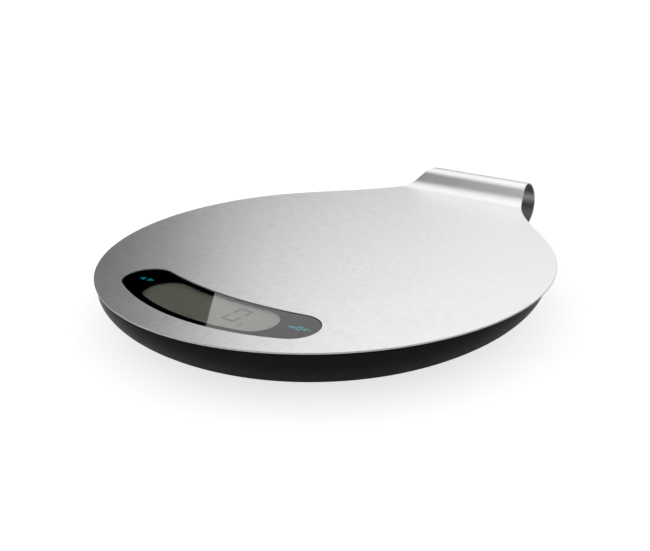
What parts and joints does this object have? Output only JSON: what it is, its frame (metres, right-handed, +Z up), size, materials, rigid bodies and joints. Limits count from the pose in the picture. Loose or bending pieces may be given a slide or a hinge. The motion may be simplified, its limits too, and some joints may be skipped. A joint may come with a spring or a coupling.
{
  "type": "digital kitchen scale",
  "caption": "Thin digital kitchen scale: a flat steel weighing disc with a neck rolled into a hanging hook, a curved touch display and a shallow dark shell.",
  "frame": {"origin": "centre of the bounding box, at the height of the table that the feet stand on", "axes": "+Z up, +Y from the display towards the hanging hook, +X to the right of a person who reads the display"},
  "size_m": [0.19, 0.2292, 0.0269],
  "materials": {
    "sheet_steel": "finely brushed along the length",
    "bond_film": "matt",
    "frame": "matt",
    "shell": "satin",
    "lens": "polished",
    "mask": "gloss",
    "lcd_glass": "polished",
    "reflector": "satin",
    "holder": "matt",
    "strip": "matt",
    "board": "satin",
    "resin": "gloss",
    "parts": "satin",
    "screws": "zinc plated",
    "touch": "matt",
    "sensor": "nickel plated",
    "potting": "satin",
    "ribbon": "satin",
    "foot": "satin",
    "pad": "matt",
    "hatch": "satin",
    "cells": "gloss",
    "contacts": "nickel plated",
    "wire": "satin"
  },
  "bodies": {
    "scale": {"platter": "sheet_steel", "platter_bond": "bond_film", "top_frame": "frame", "bottom_shell": "shell", "display_lens": "lens", "mask_film": "mask", "lcd_cell": "lcd_glass", "lcd_reflector": "reflector", "lcd_holder": "holder", "contact_strip": "strip", "main_board": "board", "controller_resin": "resin", "board_parts": "parts", "board_screws": "screws", "touch_pads": "touch", "sensor_front_left": "sensor", "sensor_front_right": "sensor", "sensor_back_left": "sensor", "sensor_back_right": "sensor", "sensor_potting": "potting", "sensor_screws": "screws", "sensor_leads": "ribbon", "battery_cells": "cells", "contact_bridge": "contacts", "contact_positive": "contacts", "contact_negative": "contacts", "battery_leads": "wire", "shell_screws": "screws"},
    "battery_hatch": {"battery_hatch": "hatch"},
    "foot_front_left": {"foot_front_left": "foot", "pad_front_left": "pad"},
    "foot_front_right": {"foot_front_right": "foot", "pad_front_right": "pad"},
    "foot_back_left": {"foot_back_left": "foot", "pad_back_left": "pad"},
    "foot_back_right": {"foot_back_right": "foot", "pad_back_right": "pad"}
  },
  "joints": [
    {"name": "foot_front_left_drop", "type": "slide", "parent": "scale", "child": "foot_front_left", "axis": [0, 0, -1], "range_m": [0, 0.0002]},
    {"name": "foot_front_right_drop", "type": "slide", "parent": "scale", "child": "foot_front_right", "axis": [0, 0, -1], "range_m": [0, 0.0002]},
    {"name": "foot_back_left_drop", "type": "slide", "parent": "scale", "child": "foot_back_left", "axis": [0, 0, -1], "range_m": [0, 0.0002]},
    {"name": "foot_back_right_drop", "type": "slide", "parent": "scale", "child": "foot_back_right", "axis": [0, 0, -1], "range_m": [0, 0.0002]},
    {"name": "battery_hatch_hinge", "type": "hinge", "parent": "scale", "child": "battery_hatch", "pos_m": [0, -0.02077, 0.0021], "axis": [-1, 0, 0], "range_deg": [0, 40]}
  ]
}
